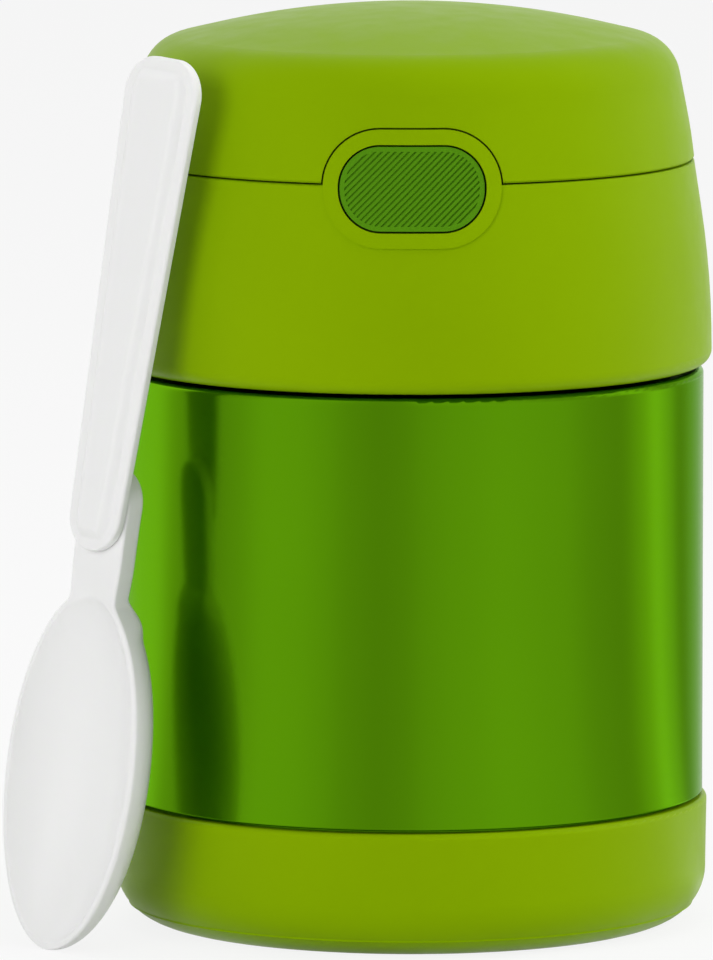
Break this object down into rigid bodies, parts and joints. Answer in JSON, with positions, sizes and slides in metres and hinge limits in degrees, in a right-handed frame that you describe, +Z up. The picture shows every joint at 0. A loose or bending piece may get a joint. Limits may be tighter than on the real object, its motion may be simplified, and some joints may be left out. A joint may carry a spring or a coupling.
{
  "type": "insulated food jar",
  "caption": "Round steel vacuum food jar in a plastic boot, with a domed screw lid whose push button frees a flip cover over a spoon compartment, and a folding spoon at its side.",
  "frame": {"origin": "centre of the flat underside of the base boot, on the jar's axis, at floor height", "axes": "+Z up along the jar's axis, -Y out of the front where the release button is, +X to the right of a viewer in front; the spoon stands at -X, -Y"},
  "size_m": [0.1067, 0.0904, 0.1381],
  "materials": {
    "lime_plastic": "satin moulded polypropylene",
    "button_green": "satin moulded, ribbed",
    "lacquered_steel": "glossy translucent green lacquer over steel",
    "bare_steel": "brushed",
    "white_plastic": "smooth",
    "silicone": "matt",
    "foam": "open foam"
  },
  "bodies": {
    "jar": {"outer_shell": "lacquered_steel", "inner_liner": "bare_steel", "outer_bottom": "bare_steel", "vacuum_seal": "bare_steel", "getter": "bare_steel", "base_boot": "lime_plastic"},
    "lid_seal": {"lid_gasket": "silicone"},
    "lid_filler": {"lid_insulation": "foam"},
    "lid": {"lid_collar": "lime_plastic", "lid_core": "lime_plastic", "stopper_cup": "lime_plastic", "spoon_tray": "lime_plastic", "hinge_pin": "bare_steel", "latch_housing": "lime_plastic", "button_spring": "bare_steel"},
    "cover": {"cover_dome": "lime_plastic", "cover_liner": "lime_plastic", "cover_catch": "lime_plastic"},
    "button": {"release_button": "button_green", "latch_slider": "button_green"},
    "spoon": {"spoon_bowl": "white_plastic"},
    "spoon_arm": {"spoon_handle": "white_plastic", "spoon_pivot": "white_plastic"}
  },
  "joints": [
    {"name": "lid_off", "type": "slide", "parent": "jar", "child": "lid_seal", "axis": [0, 0, 1], "range_m": [0, 0.06]},
    {"name": "lid_rise", "type": "slide", "parent": "lid_seal", "child": "lid_filler", "axis": [0, 0, 1], "range_m": [0, 0.0045]},
    {"name": "lid_turn", "type": "hinge", "parent": "lid_filler", "child": "lid", "pos_m": [0, 0, 0.1], "axis": [0, 0, 1], "range_deg": [0, 270]},
    {"name": "cover_open", "type": "hinge", "parent": "lid", "child": "cover", "pos_m": [0, 0.0422, 0.1162], "axis": [-1, 0, 0], "range_deg": [0, 105]},
    {"name": "button_press", "type": "slide", "parent": "lid", "child": "button", "axis": [0, 1, 0], "range_m": [0, 0.0015], "stiffness_N_per_m": 1000, "springref_m": -0.0015, "deforming": ["button_spring"]},
    {"name": "spoon_away", "type": "slide", "parent": "jar", "child": "spoon", "axis": [-0.7071, -0.7071, 0], "range_m": [0, 0.04]},
    {"name": "spoon_fold", "type": "hinge", "parent": "spoon", "child": "spoon_arm", "pos_m": [-0.04564, -0.03061, 0.06668], "axis": [-0.7019, -0.7019, 0.1206], "range_deg": [0, 180]}
  ],
  "couplings": [
    {"joint": "lid_turn", "follows": "lid_rise", "rad_per_m": 1047.2}
  ]
}
